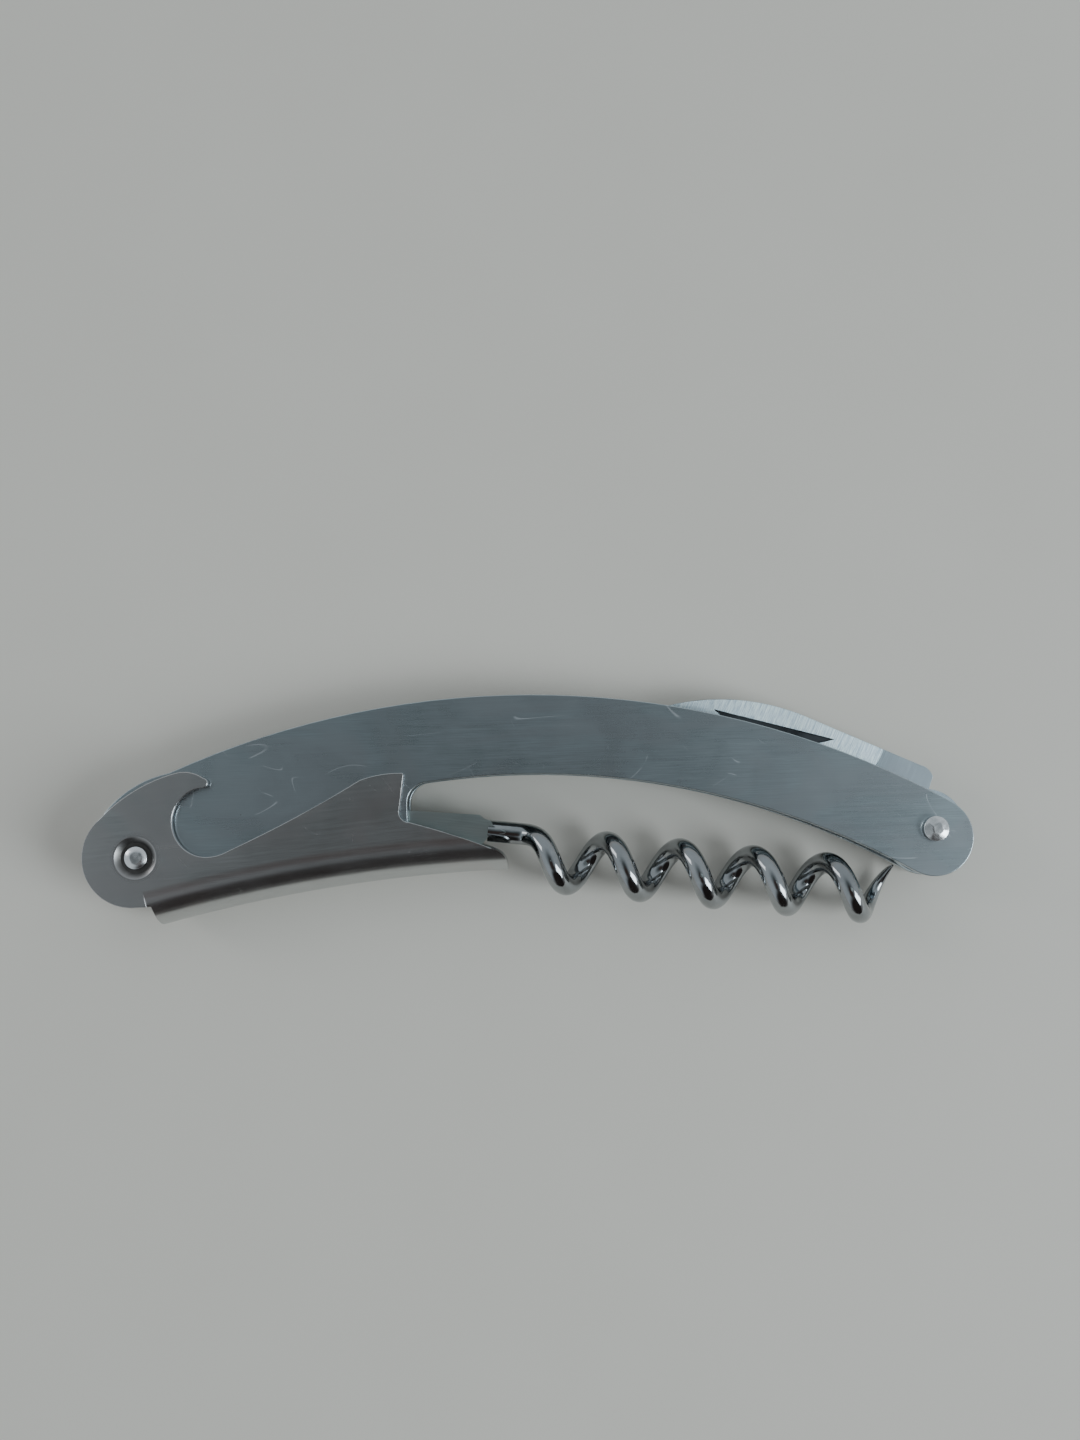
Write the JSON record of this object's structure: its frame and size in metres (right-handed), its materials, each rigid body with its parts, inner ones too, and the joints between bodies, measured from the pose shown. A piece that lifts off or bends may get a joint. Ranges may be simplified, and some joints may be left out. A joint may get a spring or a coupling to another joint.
{
  "type": "lever corkscrew",
  "caption": "Folded waiter's corkscrew: curved steel handle plates around a coiled worm and a foil blade, with a channel lever that has a crown-cap hook.",
  "frame": {"origin": "under the middle of the folded tool, on the plane that its lever's back cheek and blade rivet rest on", "axes": "+X along the handle from the lever's pivot to the blade's pivot, +Y towards the convex back of the handle, +Z out of the front scale"},
  "size_m": [0.1174, 0.0322, 0.0098],
  "materials": {
    "handle_steel": "satin, brushed lengthwise",
    "spacer_steel": "plain rolled",
    "lever_steel": "satin, softly polished bend",
    "worm_steel": "polished",
    "blade_steel": "ground crosswise",
    "rivet_steel": "polished",
    "washer_steel": "plain"
  },
  "bodies": {
    "handle": {"front_scale": "handle_steel", "back_scale": "handle_steel", "centre_spacer": "spacer_steel", "spacer_rivet": "rivet_steel", "lever_pivot_rivet": "rivet_steel", "worm_pivot_rivet": "rivet_steel", "blade_pivot_rivet": "rivet_steel", "worm_washer_front": "washer_steel", "worm_washer_back": "washer_steel", "blade_washer_front": "washer_steel", "blade_washer_back": "washer_steel"},
    "lever_arm": {"lever": "lever_steel"},
    "worm_screw": {"worm": "worm_steel"},
    "blade_arm": {"foil_blade": "blade_steel"}
  },
  "joints": [
    {"name": "lever_swing", "type": "hinge", "parent": "handle", "child": "lever_arm", "pos_m": [-0.05176, -0.00372, 0.0049], "axis": [0, 0, 1], "range_deg": [-150, 0]},
    {"name": "worm_swing", "type": "hinge", "parent": "handle", "child": "worm_screw", "pos_m": [-0.02015, -0.00032, 0.0049], "axis": [0, 0, 1], "range_deg": [-90, 0]},
    {"name": "blade_swing", "type": "hinge", "parent": "handle", "child": "blade_arm", "pos_m": [0.05355, -0.00372, 0.0049], "axis": [0, 0, 1], "range_deg": [-180, 0]}
  ],
  "couplings": [
    {"joint": "worm_swing", "follows": "lever_swing", "ratio": 0.6}
  ]
}
